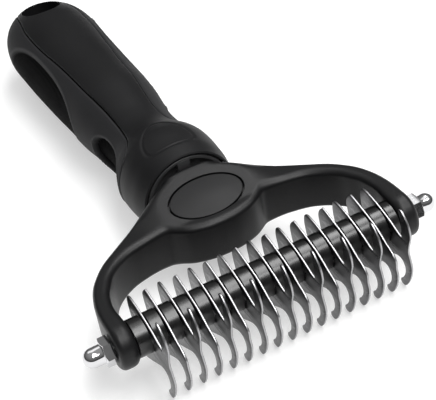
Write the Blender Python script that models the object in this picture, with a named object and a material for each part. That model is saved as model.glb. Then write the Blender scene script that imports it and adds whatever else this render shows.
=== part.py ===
"""Double-sided undercoat rake: steel blades on a rod, a bow-shaped head and a soft-grip handle.

The rod runs along X, the handle points along +Y and +Z is up. Sizes are in millimetres measured
from the rod's axis, and MM turns them into metres.
"""
import math

import bmesh
import bpy
from mathutils import Matrix, Vector

MM = 0.001
GAP = 0.3                    # clearance kept between neighbouring pieces
CUT_MARGIN = 2.0             # how far a cutter runs past the face it cuts through
ROUND_SIDES = 18             # sides of small round details
WELD = 1e-6
SHARP_ANGLE = 35.0           # degrees between faces from which an edge is shaded sharp
LEVEL_ANGLE = 0.5            # degrees below which neighbouring faces are merged into one

# Blades, spacers and rod
BLADE_COUNT = 17
BLADE_PITCH = 5.0
BLADE_THICKNESS = 0.75
STACK_SHIFT = 0.75           # the blade stack sits slightly towards +X
SPACER_RADIUS = 5.95
SPACER_SIDES = 16
ROD_RADIUS = 2.5             # M5 rod
BORE_RADIUS = ROD_RADIUS + GAP
BORE_SIDES = 12
ROD_END = 52.9

# Cap nuts, M5: 8 mm across flats
NUT_ACROSS_FLATS = 8.0
NUT_HEX_HEIGHT = 3.0
NUT_HEIGHT = 8.8
NUT_BORE_DEPTH = 2.5
NUT_SIDES = 24
DOME_RADIUS = 3.1
DOME_OVERLAP = 0.3           # how far the dome's foot spreads and sinks into the hexagon
RIM_CHAMFER = 0.7
CHAMFER_DROP = 0.9
NUT_TURN_LEFT = 26.0         # degrees each nut has stopped at
NUT_TURN_RIGHT = 37.0

# Head
ARM_INNER_X = 44.3
ARM_OUTER_X = 50.4
BOW_HALF_HEIGHT = 7.4        # also the radius of the arms' round ends
EDGE_ROUND = 1.7
HUMP_START_Y = 38.0          # the hump on the head's top narrows between these two
HUMP_END_Y = 46.8
HUMP_FLAT_X = 15.0           # half width of the hump's level top, and how much it narrows by
HUMP_FLAT_LOSS = 9.0
HUMP_FOOT_X = 26.0           # half width at the hump's foot, and how much it narrows by
HUMP_FOOT_LOSS = 9.5
NECK_REAR_Y = 49.4
SPIGOT_RADIUS = 8.7
SPIGOT_END_Y = 66.0
BADGE_CENTRE = (0.0, 35.4, 9.0)
BADGE_TILT = 14.0            # degrees the top face rises towards the handle
BADGE_HALF_X = 12.2
BADGE_HALF_Y = 7.6
BADGE_THICKNESS = 1.5
BADGE_GROOVE = 0.6
BADGE_SIDES = 40

# Handle
RIM_Y = 49.7
GRIP_START_Y = 67.0
GRIP_END_Y = 184.0
GRIP_DEPTH = 3.0
FADE_START = 75.0            # degrees from the top line between which a recess gets shallower
FADE_END = 125.0
BUTT_START_Y = 160.0
BUTT_RADIUS = 17.45
BUTT_FULLNESS = 3.0          # exponent of the butt's rounding, more being fuller
HANDLE_END_Y = 189.0
FLATTEN_START_Y = 160.0      # the butt is lower than it is wide from here on
FLATTEN_LENGTH = 24.0
FLATTEN_SHARE = 0.13
HOLE_CENTRE_Y = 173.3
HOLE_HALF_X = 7.2
HOLE_HALF_Y = 8.8
HOLE_SIDES = 32
MOUTH_RADIUS = 14.9
MOUTH_DEPTH = 4.7
MOUTH_SIDES = 32
SOCKET_RADIUS = SPIGOT_RADIUS + GAP
SOCKET_SPACE = 1.0           # room left past the spigot's end
SPIGOT_SIDES = 24
COLLAR_INNER_RADIUS = 9.1
COLLAR_LIP = 1.2             # radial width of the collar's raised rim
COLLAR_START_Y = 50.0
COLLAR_FLOOR_Y = 52.3
KEY_WIDTH = 4.2
KEY_PROUD = 0.2              # the keys stand this far forward of the collar's rim
KEY_INSET = 1.0              # the keys stop this far short of the collar's bore and of its back

# Overall box, which puts the origin at the middle of the footprint
FRONT_Y = -16.85
LOWEST_Z = -17.5


# ---------------------------------------------------------------- scene helpers

def clear_scene():
    for obj in list(bpy.data.objects):
        bpy.data.objects.remove(obj, do_unlink=True)


def make_collection(name):
    collection = bpy.data.collections.new(name)
    bpy.context.scene.collection.children.link(collection)
    return collection


def make_material(name, colour, roughness, metallic=0.0):
    material = bpy.data.materials.new(name)
    material.use_nodes = True
    shader = material.node_tree.nodes["Principled BSDF"]
    shader.inputs["Base Color"].default_value = (*colour, 1.0)
    shader.inputs["Roughness"].default_value = roughness
    shader.inputs["Metallic"].default_value = metallic
    return material


def add_object(name, mesh, material):
    """Put a mesh in the rake's collection, placed from the rod's axis."""
    obj = bpy.data.objects.new(name, mesh)
    parts.objects.link(obj)
    obj.parent = rod_axis
    if not mesh.materials:
        mesh.materials.append(material)
    mesh.shade_smooth()
    mesh.set_sharp_from_angle(angle=math.radians(SHARP_ANGLE))
    return obj


def add_cutter(name, mesh):
    obj = bpy.data.objects.new(name, mesh)
    cutters.objects.link(obj)
    obj.parent = rod_axis
    obj.hide_render = True
    obj.display_type = "WIRE"
    return obj


def boolean(obj, other, operation):
    modifier = obj.modifiers.new(other.name, "BOOLEAN")
    modifier.operation = operation
    modifier.solver = "EXACT"
    modifier.object = other


# ---------------------------------------------------------------- shape helpers

def smooth_through(points, steps):
    """Closed Catmull-Rom curve through the points, with steps stretches between two points."""
    count = len(points)
    curve = []
    for i in range(count):
        p0, p1, p2, p3 = (Vector(points[(i + k) % count]) for k in (-1, 0, 1, 2))
        for step in range(steps):
            t = step / steps
            bend = (2 * p0 - 5 * p1 + 4 * p2 - p3) * t ** 2
            twist = (3 * p1 - p0 - 3 * p2 + p3) * t ** 3
            curve.append(tuple(0.5 * (2 * p1 + (p2 - p0) * t + bend + twist)))
    return curve


def ellipse(half_x, half_y, sides, centre_y=0.0):
    turns = [2 * math.pi * i / sides for i in range(sides)]
    return [(half_x * math.cos(turn), centre_y + half_y * math.sin(turn)) for turn in turns]


def mesh_from(name, bm):
    bmesh.ops.remove_doubles(bm, verts=bm.verts, dist=WELD)
    bmesh.ops.recalc_face_normals(bm, faces=bm.faces)
    mesh = bpy.data.meshes.new(name)
    bm.to_mesh(mesh)
    bm.free()
    return mesh


def flat_mesh(name, outlines, half_thickness):
    """Filled flat outline with holes, given its thickness along its own Z."""
    curve = bpy.data.curves.new(name, "CURVE")
    curve.dimensions = "2D"
    curve.fill_mode = "BOTH"
    curve.extrude = half_thickness * MM
    for outline in outlines:
        spline = curve.splines.new("POLY")
        spline.points.add(len(outline) - 1)
        for point, (x, y) in zip(spline.points, outline):
            point.co = (x * MM, y * MM, 0.0, 1.0)
        spline.use_cyclic_u = True
    obj = bpy.data.objects.new(name, curve)
    bpy.context.scene.collection.objects.link(obj)
    raw = bpy.data.meshes.new_from_object(obj)
    bm = bmesh.new()
    bm.from_mesh(raw)
    bpy.data.objects.remove(obj, do_unlink=True)
    bpy.data.meshes.remove(raw)
    bmesh.ops.remove_doubles(bm, verts=bm.verts, dist=WELD)
    if len(outlines) == 1:
        bmesh.ops.dissolve_limit(bm, angle_limit=math.radians(LEVEL_ANGLE), verts=bm.verts,
                                 edges=bm.edges)
    return mesh_from(name, bm)


def loft_mesh(name, rings, capped=True):
    """Closed loft through rings with the same number of points. Pinched ends need no caps."""
    bm = bmesh.new()
    rows = [[bm.verts.new(Vector(point) * MM) for point in ring] for ring in rings]
    for lower, upper in zip(rows, rows[1:]):
        for i in range(len(lower)):
            bm.faces.new((lower[i - 1], lower[i], upper[i], upper[i - 1]))
    if capped:
        caps = [bm.faces.new(rows[0]), bm.faces.new(rows[-1])]
        bmesh.ops.triangulate(bm, faces=caps)
    return mesh_from(name, bm)


def turned_mesh(name, profile, sides):
    """Turned solid about its own Z axis, from (radius, height) points."""
    bm = bmesh.new()
    points = [bm.verts.new((radius * MM, 0.0, height * MM)) for radius, height in profile]
    edges = [bm.edges.new(pair) for pair in zip(points, points[1:])]
    if profile[0][0] > 0.0:
        edges.append(bm.edges.new((points[-1], points[0])))
    bmesh.ops.spin(bm, geom=points + edges, cent=(0, 0, 0), axis=(0, 0, 1),
                   angle=2 * math.pi, steps=sides)
    return mesh_from(name, bm)


def cylinder_mesh(name, radius, low, high, sides):
    return turned_mesh(name, [(0.0, high), (radius, high), (radius, low), (0.0, low)], sides)


def along_x(mesh, side=1):
    """Lay a mesh made about Z along X, pointing to +X or, with side -1, to -X."""
    mesh.transform(Matrix.Rotation(math.radians(90.0 * side), 4, "Y"))
    return mesh


def along_y(mesh):
    """Lay a mesh made about Z along +Y."""
    mesh.transform(Matrix.Rotation(math.radians(-90.0), 4, "X"))
    return mesh


# ---------------------------------------------------------------- blades and rod

# Outlines are (y, z) across the rod.
REAR_EDGE = [(7.4, -12.3), (9.3, -7.5), (10.6, -1.5), (11.1, 4.4)]
LOWER_TOOTH = [(-15.6, -5.1), (-16.0, -8.0), (-14.9, -11.9), (-13.1, -15.2), (-11.2, -17.2),
               (-9.3, -17.1), (-9.0, -15.8), (-10.5, -14.2), (-12.0, -11.6), (-12.2, -8.9),
               (-10.6, -7.0), (-7.6, -7.3), (-1.9, -10.2), (3.1, -12.6), (5.8, -13.4)]
UPPER_TOOTH = [(-11.2, 2.1), (-12.1, 3.9), (-12.2, 8.4), (-11.4, 12.2), (-12.3, 12.9), (-13.3, 12.5),
               (-15.0, 10.8), (-16.4, 8.4), (-16.85, 5.2), (-15.6, 1.4), (-14.8, -1.9)]
DOUBLE_TOP = [(9.0, 7.7), (2.1, 6.9), (-5.4, 4.6)]
SINGLE_TOP = [(8.6, 7.9), (6.7, 8.2), (-3.6, 5.5), (-7.7, 3.6), (-10.7, 1.7), (-13.7, 0.2),
              (-15.7, -2.1)]


def blade_mesh(name, outline):
    """Stamped blade, drawn flat and stood up across the rod."""
    smooth = smooth_through(outline, 2)
    bore = ellipse(BORE_RADIUS, BORE_RADIUS, BORE_SIDES)
    mesh = flat_mesh(name, [smooth, bore], BLADE_THICKNESS / 2)
    mesh.transform(Matrix(((0, 0, 1, 0), (1, 0, 0, 0), (0, 1, 0, 0), (0, 0, 0, 1))))
    return mesh


def blade_x(index):
    return (index - (BLADE_COUNT - 1) / 2) * BLADE_PITCH + STACK_SHIFT


def make_blades():
    """Every other blade, the outermost included, carries an upper tooth too."""
    double = blade_mesh("double_blade", REAR_EDGE + DOUBLE_TOP + UPPER_TOOTH + LOWER_TOOTH)
    single = blade_mesh("single_blade", REAR_EDGE + SINGLE_TOP + LOWER_TOOTH)
    for index in range(BLADE_COUNT):
        mesh = double if index % 2 == 0 else single
        blade = add_object(f"blade_{index + 1:02d}", mesh, steel)
        blade.location.x = blade_x(index) * MM


def spacer_mesh(name, length):
    half = length / 2
    profile = [(BORE_RADIUS, half), (SPACER_RADIUS, half), (SPACER_RADIUS, -half),
               (BORE_RADIUS, -half)]
    return along_x(turned_mesh(name, profile, SPACER_SIDES))


def make_spacers():
    face = BLADE_THICKNESS / 2 + GAP
    shared = spacer_mesh("spacer", BLADE_PITCH - 2 * face)
    for index in range(BLADE_COUNT - 1):
        spacer = add_object(f"spacer_{index + 1:02d}", shared, gloss_black)
        spacer.location.x = (blade_x(index) + BLADE_PITCH / 2) * MM


def make_end_spacer(name, side, blade_index):
    near = blade_x(blade_index) + side * (BLADE_THICKNESS / 2 + GAP)
    far = side * (ARM_INNER_X - GAP)
    spacer = add_object(name, spacer_mesh(name, abs(far - near)), gloss_black)
    spacer.location.x = (near + far) / 2 * MM


def make_tie_rod():
    mesh = cylinder_mesh("tie_rod", ROD_RADIUS, -ROD_END, ROD_END, SPACER_SIDES)
    add_object("tie_rod", along_x(mesh), steel)


def make_cap_nut(name, side, turn):
    """Domed nut: a hexagon with its outer corners turned off, a dome and a blind bore."""
    corner = NUT_ACROSS_FLATS / math.sqrt(3)
    hexagon = flat_mesh(name, [ellipse(corner, corner, 6)], NUT_HEX_HEIGHT / 2)
    hexagon.transform(Matrix.Translation((0, 0, NUT_HEX_HEIGHT / 2 * MM)))
    nut = add_object(name, along_x(hexagon, side), chrome)
    clear = corner + CUT_MARGIN / 2
    blank = [(0.0, NUT_HEX_HEIGHT), (corner - RIM_CHAMFER, NUT_HEX_HEIGHT),
             (clear, NUT_HEX_HEIGHT - CHAMFER_DROP), (clear, -CUT_MARGIN), (0.0, -CUT_MARGIN)]
    tangent = NUT_HEIGHT - DOME_RADIUS
    dome = [(DOME_RADIUS * math.sin(math.radians(angle)),
             tangent + DOME_RADIUS * math.cos(math.radians(angle))) for angle in range(0, 91, 18)]
    foot = NUT_HEX_HEIGHT - DOME_OVERLAP
    dome += [(DOME_RADIUS + DOME_OVERLAP, foot), (0.0, foot)]
    bore = cylinder_mesh(name + "_bore", BORE_RADIUS, -CUT_MARGIN, NUT_BORE_DEPTH, ROUND_SIDES)
    tools = [(along_x(turned_mesh(name + "_blank", blank, NUT_SIDES), side), "INTERSECT"),
             (along_x(turned_mesh(name + "_dome", dome, ROUND_SIDES), side), "UNION"),
             (along_x(bore, side), "DIFFERENCE")]
    seat = side * (ARM_OUTER_X + GAP) * MM
    nut.location.x = seat
    nut.rotation_euler.x = math.radians(turn)
    for mesh, operation in tools:
        tool = add_cutter(mesh.name, mesh)
        tool.location.x = seat
        boolean(nut, tool, operation)


# ---------------------------------------------------------------- head

# Plan of the bow's +X half from the rod to the middle: arm, shoulder and neck outside; arm, bay
# and middle bulge inside. The rows are pairs of (x, y) that face each other across the bow.
BOW_STATIONS = [((ARM_OUTER_X, 0.0), (ARM_INNER_X, 0.0)), ((50.3, 4.1), (44.3, 4.1)),
                ((49.9, 9.0), (44.4, 9.0)), ((48.9, 13.8), (43.2, 14.6)),
                ((47.0, 19.0), (41.2, 18.4)), ((44.5, 23.0), (38.9, 21.9)),
                ((40.0, 28.0), (35.2, 25.1)), ((34.0, 32.4), (30.8, 27.5)),
                ((28.0, 36.5), (26.0, 28.8)), ((24.0, 39.5), (22.0, 29.5)),
                ((21.2, 41.7), (18.6, 29.8)), ((18.4, 43.8), (16.4, 29.5)),
                ((16.2, 45.4), (14.0, 27.8)), ((13.6, 46.8), (11.5, 26.1)),
                ((10.0, 48.1), (8.6, 24.9)), ((5.0, 49.1), (4.6, 23.9)),
                ((0.0, NECK_REAR_Y), (0.0, 23.6))]
EDGE_STEPS = 3
SPAN_STEPS = 8
LUG_STEPS = 6


def head_top(x, y):
    """Height of the head's top face: the bow's flat top, rising as a broad hump to the neck."""
    slope = math.tan(math.radians(BADGE_TILT))
    rise = max(0.0, BADGE_CENTRE[2] + (y - BADGE_CENTRE[1]) * slope - BOW_HALF_HEIGHT)
    narrowing = min(1.0, max(0.0, (y - HUMP_START_Y) / (HUMP_END_Y - HUMP_START_Y)))
    flat = HUMP_FLAT_X - HUMP_FLAT_LOSS * narrowing ** 2
    foot = HUMP_FOOT_X - HUMP_FOOT_LOSS * narrowing
    fall = min(1.0, max(0.0, (abs(x) - flat) / (foot - flat)))
    return BOW_HALF_HEIGHT + rise * 0.5 * (1.0 + math.cos(math.pi * fall))


def edge_rows(span):
    """(reach, drop) across the bow: rounded at both edges and level between them."""
    edge = []
    for i in range(EDGE_STEPS + 1):
        turn = math.pi / 2 * i / EDGE_STEPS
        edge.append((EDGE_ROUND * (1 - math.cos(turn)), EDGE_ROUND * (1 - math.sin(turn))))
    middle = [(EDGE_ROUND + (span - 2 * EDGE_ROUND) * i / SPAN_STEPS, 0.0)
              for i in range(1, SPAN_STEPS)]
    return edge + middle + [(span - reach, drop) for reach, drop in reversed(edge)]


def with_underside(top):
    return top + [(x, y, -z) for x, y, z in reversed(top)]


def bow_section(outer, inner):
    """Ring across the bow, following the top face between its rounded edges."""
    outer = Vector(outer)
    inner = Vector(inner)
    across = (inner - outer).normalized()
    top = []
    for reach, drop in edge_rows((inner - outer).length):
        x, y = outer + across * reach
        top.append((x, y, head_top(x, y) - drop))
    return with_underside(top)


def lug_section(turn):
    """The arm's section swung about the rod: the last one, at a right angle, is pinched shut."""
    top = []
    for reach, drop in edge_rows(ARM_OUTER_X - ARM_INNER_X):
        radius = BOW_HALF_HEIGHT - drop
        top.append((ARM_OUTER_X - reach, -radius * math.sin(turn), radius * math.cos(turn)))
    return with_underside(top)


def bow_mesh():
    """Arms, bow and neck in one loft, closed by the arms' round ends."""
    lug = [lug_section(math.pi / 2 * (1 - i / LUG_STEPS)) for i in range(LUG_STEPS)]
    half = lug + [bow_section(outer, inner) for outer, inner in BOW_STATIONS]
    mirrored = [[(-x, y, z) for x, y, z in ring] for ring in reversed(half[:-1])]
    return loft_mesh("head_frame", half + mirrored, capped=False)


def badge_place(side):
    """Middle of the badge's outer face, on the sloping face above or below the head."""
    x, y, z = BADGE_CENTRE
    tilt = Matrix.Rotation(math.radians(BADGE_TILT * side), 4, "X")
    return Matrix.Translation(Vector((x, y, z * side)) * MM) @ tilt


def make_badge(name, side):
    """Oval inlay, flush with the sloping face and set off from it by a narrow groove."""
    mesh = flat_mesh(name, [ellipse(BADGE_HALF_X, BADGE_HALF_Y, BADGE_SIDES)], BADGE_THICKNESS / 2)
    mesh.transform(Matrix.Translation((0, 0, -side * BADGE_THICKNESS / 2 * MM)))
    badge = add_object(name, mesh, badge_black)
    badge.matrix_local = badge_place(side)


def cut_badge_pocket(head, name, side):
    outline = ellipse(BADGE_HALF_X + BADGE_GROOVE, BADGE_HALF_Y + BADGE_GROOVE, BADGE_SIDES)
    pocket = add_cutter(name, flat_mesh(name, [outline], BADGE_THICKNESS + GAP))
    pocket.matrix_local = badge_place(side)
    boolean(head, pocket, "DIFFERENCE")


def make_head():
    head = add_object("head_frame", bow_mesh(), satin_black)
    spigot = cylinder_mesh("spigot", SPIGOT_RADIUS, HUMP_START_Y, SPIGOT_END_Y, SPIGOT_SIDES)
    boolean(head, add_cutter("spigot", along_y(spigot)), "UNION")
    reach = ARM_OUTER_X + CUT_MARGIN
    bore = cylinder_mesh("rod_bore", BORE_RADIUS, -reach, reach, ROUND_SIDES)
    boolean(head, add_cutter("rod_bore", along_x(bore)), "DIFFERENCE")
    cut_badge_pocket(head, "badge_pocket_top", 1)
    cut_badge_pocket(head, "badge_pocket_bottom", -1)


# ---------------------------------------------------------------- handle

# (y, radius, height of the centre line): the centre dips behind the bell, where the underside
# carries a finger stop.
HANDLE_SHAPE = [(RIM_Y, 16.0, 0.0), (55.0, 17.0, 0.0), (59.0, 17.3, 0.0), (63.0, 17.5, 0.0),
                (GRIP_START_Y, 17.4, -0.1), (71.0, 16.8, -0.5), (75.0, 15.7, -1.0),
                (81.0, 14.4, -1.2), (88.0, 13.9, -0.6), (96.0, 14.6, -0.1), (107.0, 15.9, 0.0),
                (119.0, 16.2, 0.0), (131.0, 16.8, 0.0), (143.0, 17.2, 0.0), (152.0, 17.4, 0.0),
                (BUTT_START_Y, BUTT_RADIUS, 0.0)]
# (y, degrees from the top line) of the seam between the hard panel and the grips
SEAM_SHAPE = [(GRIP_START_Y, 50.0), (69.0, 42.0), (72.0, 36.0), (78.0, 32.0), (95.0, 32.0),
              (112.0, 34.0), (130.0, 36.0), (146.0, 40.0), (161.0, 40.0), (170.0, 35.0),
              (GRIP_END_Y, 33.0)]
BUTT_STATIONS = [168.0, 172.0, 176.0, 180.0, GRIP_END_Y, 186.8, 188.4, HANDLE_END_Y]
BUTT_TIP = 0.975             # share of the butt's rounding at which it ends in a small flat
PANEL_STEPS = 6
GRIP_STEPS = 12
SEAM_EASE = 1.5              # gaps between the panel's edge and a grip's
# (middle y, half length, middle angle and half width in degrees, depth, share of the depth that is
# left at the underside) of each grip's finger recesses
RECESSES = [(139.5, 29.0, 96.0, 44.0, 0.7, 0.0), (82.5, 14.0, 94.0, 36.0, 2.0, 1.0)]
RECESS_ROUNDNESS = 2.5       # exponent of a recess's outline along the handle
RECESS_STEEPNESS = 2.5       # how quickly a recess reaches its full depth


def handle_stations():
    """(y, radius, centre height) along the handle, ending in a rounded butt."""
    body = list(HANDLE_SHAPE)
    length = HANDLE_END_Y - BUTT_START_Y
    butt = []
    for y in BUTT_STATIONS:
        along = min((y - BUTT_START_Y) / length, BUTT_TIP)
        butt.append((y, BUTT_RADIUS * math.sqrt(1 - along ** BUTT_FULLNESS), 0.0))
    return body + butt


def interpolate(table, y):
    """Value at y on straight lines between the table's (y, value) rows."""
    for (y0, value0), (y1, value1) in zip(table, table[1:]):
        if y <= y1:
            share = max(0.0, (y - y0) / (y1 - y0))
            return value0 + (value1 - value0) * share
    return table[-1][1]


def seam_angle(y):
    return math.radians(interpolate(SEAM_SHAPE, y))


def recess_depth(y, angle):
    """Finger recesses: a long oval in the palm that fades out below, and a small one forward."""
    turn = math.degrees(abs(angle))
    fade = min(1.0, max(0.0, (FADE_END - turn) / (FADE_END - FADE_START)))
    depth = 0.0
    for middle, half, centre, width, deep, kept in RECESSES:
        inside = 1.0 - abs((y - middle) / half) ** RECESS_ROUNDNESS - ((turn - centre) / width) ** 2
        share = min(1.0, RECESS_STEEPNESS * max(inside, 0.0))
        depth = max(depth, deep * share * (kept + (1.0 - kept) * fade))
    return depth


def flatness(y):
    """Height over width of the handle's section: round, then lower towards the butt."""
    along = min(1.0, max(0.0, (y - FLATTEN_START_Y) / FLATTEN_LENGTH))
    return 1.0 - FLATTEN_SHARE * along ** 2 * (3.0 - 2.0 * along)


def surface_point(station, angle, inset=0.0):
    """Point under the handle's surface at an angle from the top line."""
    y, radius, height = station
    reach = radius - inset
    return (reach * math.sin(angle), y, height + reach * math.cos(angle) * flatness(y))


def core_ring(station, pocket_depth):
    """Ring of the hard core: two panels at full radius and a pocket for a grip on each side."""
    seam = seam_angle(station[0])
    ring = []
    for middle in (0.0, math.pi):
        for i in range(PANEL_STEPS + 1):
            ring.append(surface_point(station, middle + seam * (2 * i / PANEL_STEPS - 1)))
        sweep = math.pi - 2 * seam
        for i in range(GRIP_STEPS + 1):
            angle = middle + seam + sweep * i / GRIP_STEPS
            ring.append(surface_point(station, angle, pocket_depth))
    return ring


def handle_core_mesh():
    rings = []
    for station in handle_stations():
        y = station[0]
        at_start = abs(y - GRIP_START_Y) < WELD
        at_end = abs(y - GRIP_END_Y) < WELD
        inside = GRIP_START_Y < y < GRIP_END_Y
        depths = [GRIP_DEPTH] if inside else [0.0]
        if at_start:
            depths = [0.0, GRIP_DEPTH]
        if at_end:
            depths = [GRIP_DEPTH, 0.0]
        rings += [core_ring(station, depth) for depth in depths]
    return loft_mesh("handle_core", rings)


def make_handle_core():
    core = add_object("handle_core", handle_core_mesh(), handle_black)
    front = RIM_Y - CUT_MARGIN
    mouth = cylinder_mesh("mouth", MOUTH_RADIUS, front, RIM_Y + MOUTH_DEPTH, MOUTH_SIDES)
    socket_end = SPIGOT_END_Y + SOCKET_SPACE
    socket = cylinder_mesh("socket", SOCKET_RADIUS, RIM_Y, socket_end, SPIGOT_SIDES)
    outline = ellipse(HOLE_HALF_X, HOLE_HALF_Y, HOLE_SIDES, HOLE_CENTRE_Y)
    hole = flat_mesh("hanging_hole", [outline], BUTT_RADIUS + CUT_MARGIN)
    for mesh in (along_y(mouth), along_y(socket), hole):
        boolean(core, add_cutter(mesh.name, mesh), "DIFFERENCE")


def grip_section(station, side):
    """Crescent across a grip: its recessed outside, then its inside back again."""
    y, radius, _height = station
    seam = seam_angle(y) + SEAM_EASE * GAP / radius
    sweep = math.pi - 2 * seam
    angles = [side * (seam + sweep * i / GRIP_STEPS) for i in range(GRIP_STEPS + 1)]
    outside = [surface_point(station, angle, recess_depth(y, angle)) for angle in angles]
    inside = [surface_point(station, angle, GRIP_DEPTH - GAP) for angle in reversed(angles)]
    return outside + inside


def make_grip(name, side):
    stations = handle_stations()
    inner = [s for s in stations if GRIP_START_Y + 2 * GAP < s[0] < GRIP_END_Y - 2 * GAP]
    first = next(s for s in stations if abs(s[0] - GRIP_START_Y) < WELD)
    last = next(s for s in stations if abs(s[0] - GRIP_END_Y) < WELD)
    start = tuple(Vector(first).lerp(Vector(inner[0]), GAP / (inner[0][0] - first[0])))
    end = tuple(Vector(last).lerp(Vector(inner[-1]), GAP / (last[0] - inner[-1][0])))
    sections = [grip_section(station, side) for station in [start] + inner + [end]]
    add_object(name, loft_mesh(name, sections), rubber)


def make_neck_collar():
    """Stepped ring in the bell's mouth, with a key above and below behind the head."""
    outer = MOUTH_RADIUS - GAP
    lip = outer - COLLAR_LIP
    back = RIM_Y + MOUTH_DEPTH - GAP
    profile = [(COLLAR_INNER_RADIUS, back), (outer, back), (outer, COLLAR_START_Y),
               (lip, COLLAR_START_Y), (lip, COLLAR_FLOOR_Y), (COLLAR_INNER_RADIUS, COLLAR_FLOOR_Y)]
    ring = along_y(turned_mesh("neck_collar", profile, MOUTH_SIDES))
    collar = add_object("neck_collar", ring, handle_black)
    bottom = COLLAR_INNER_RADIUS + KEY_INSET
    top = lip + COLLAR_LIP / 2
    front = COLLAR_START_Y - KEY_PROUD
    foot = back - KEY_INSET
    outline = [(-KEY_WIDTH / 2, front), (KEY_WIDTH / 2, front), (KEY_WIDTH / 2, foot),
               (-KEY_WIDTH / 2, foot)]
    for side, key_name in ((1, "key_top"), (-1, "key_bottom")):
        key = add_cutter(key_name, flat_mesh(key_name, [outline], (top - bottom) / 2))
        key.location.z = side * (top + bottom) / 2 * MM
        boolean(collar, key, "UNION")


# ---------------------------------------------------------------- assembly

clear_scene()
parts = make_collection("undercoat_rake")
cutters = make_collection("cutters")
rod_axis = bpy.data.objects.new("rod_axis", None)
rod_axis.location = (0.0, -(FRONT_Y + HANDLE_END_Y) / 2 * MM, -LOWEST_Z * MM)
parts.objects.link(rod_axis)

steel = make_material("stamped_steel", (0.48, 0.48, 0.49), 0.32, 1.0)
chrome = make_material("chrome", (0.80, 0.80, 0.81), 0.10, 1.0)
gloss_black = make_material("gloss_black_plastic", (0.010, 0.010, 0.011), 0.16)
satin_black = make_material("satin_black_plastic", (0.016, 0.016, 0.017), 0.38)
badge_black = make_material("badge_plastic", (0.035, 0.035, 0.036), 0.45)
handle_black = make_material("handle_plastic", (0.020, 0.020, 0.021), 0.50)
rubber = make_material("soft_grip_rubber", (0.026, 0.026, 0.027), 0.62)

make_blades()
make_spacers()
make_end_spacer("end_spacer_left", -1, 0)
make_end_spacer("end_spacer_right", 1, BLADE_COUNT - 1)
make_tie_rod()
make_cap_nut("cap_nut_left", -1, NUT_TURN_LEFT)
make_cap_nut("cap_nut_right", 1, NUT_TURN_RIGHT)
make_head()
make_badge("badge_top", 1)
make_badge("badge_bottom", -1)
make_neck_collar()
make_handle_core()
make_grip("grip_left", -1)
make_grip("grip_right", 1)
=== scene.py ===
"""Looks of the undercoat rake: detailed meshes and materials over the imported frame.

Lengths are in millimetres from the blade rod's axis (X along the rod, +Y to the handle, +Z up).
"""

import math

import bmesh
import bpy
from mathutils import Matrix, Vector


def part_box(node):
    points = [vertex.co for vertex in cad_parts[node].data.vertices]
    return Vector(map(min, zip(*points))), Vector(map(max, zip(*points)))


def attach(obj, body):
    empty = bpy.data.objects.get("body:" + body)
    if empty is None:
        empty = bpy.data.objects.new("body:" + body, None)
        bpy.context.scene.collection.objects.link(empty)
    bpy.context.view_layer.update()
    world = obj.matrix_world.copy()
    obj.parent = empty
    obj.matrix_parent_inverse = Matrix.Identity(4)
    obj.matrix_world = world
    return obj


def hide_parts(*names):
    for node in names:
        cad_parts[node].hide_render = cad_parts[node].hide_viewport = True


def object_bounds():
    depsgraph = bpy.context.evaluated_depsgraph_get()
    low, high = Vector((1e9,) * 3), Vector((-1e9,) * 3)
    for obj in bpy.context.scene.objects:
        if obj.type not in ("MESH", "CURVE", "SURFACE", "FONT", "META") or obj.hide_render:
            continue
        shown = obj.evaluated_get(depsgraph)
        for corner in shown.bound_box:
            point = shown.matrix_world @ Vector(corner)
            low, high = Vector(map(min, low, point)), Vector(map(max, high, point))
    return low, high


MM = 0.001
UP = Vector((0.0, 0.0, 1.0))
WELD = 1e-6                  # metres within which a mesh's points are merged
CUT_MARGIN = 2.0             # how far a cutter runs past the face it cuts through
SHARP_ANGLE = 35.0           # degrees between faces from which an edge is shaded sharp
PLATE_SHARP_ANGLE = 40.0     # the same for flat pieces with rounded edges
CLEARANCE = 0.3              # between neighbouring pieces
BAR_SIDES = 64               # round a bar or a sleeve

# Blades, spacers and rod
BLADE_COUNT = 17
BLADE_PITCH = 5.0
BLADE_HALF = 0.375
BLADE_ROUNDING = 0.26
BLADE_CURVE_STEPS = 6
STACK_SHIFT = 0.75           # the blade stack sits slightly towards +X
FRONT_Y = -16.85             # no blade reaches further forward
SPACER_RADIUS = 5.95
SPACER_EASE = 0.1
BORE_RADIUS = 2.8
BORE_SIDES = 32
ROD_RADIUS = 2.5
ROD_END = 52.9
ROD_CHAMFER = 0.4
ROD_SIDES = 40

# Cap nuts
NUT_ACROSS_FLATS = 8.0
NUT_HEX_HEIGHT = 3.0
NUT_HEIGHT = 8.8
NUT_ROUNDING = 0.14
NUT_SIDES = 96
NUT_TURN_LEFT = 26.0         # degrees each nut has stopped at
NUT_TURN_RIGHT = 37.0
# (radius past the hexagon's corners, height) of the turned blank that takes its corners off
NUT_BLANK = [(-0.75, 3.2), (-0.65, 3.0), (0.35, 2.35), (0.35, 0.35), (-0.3, -0.1)]
DOME_RADIUS = 3.1
DOME_STEP = 6                # degrees between the dome's rings
DOME_FOOT_RISE = 0.25
DOME_FOOT_SPREAD = 0.3
DOME_OVERLAP = 0.2           # how far the dome sinks into the hexagon

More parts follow.
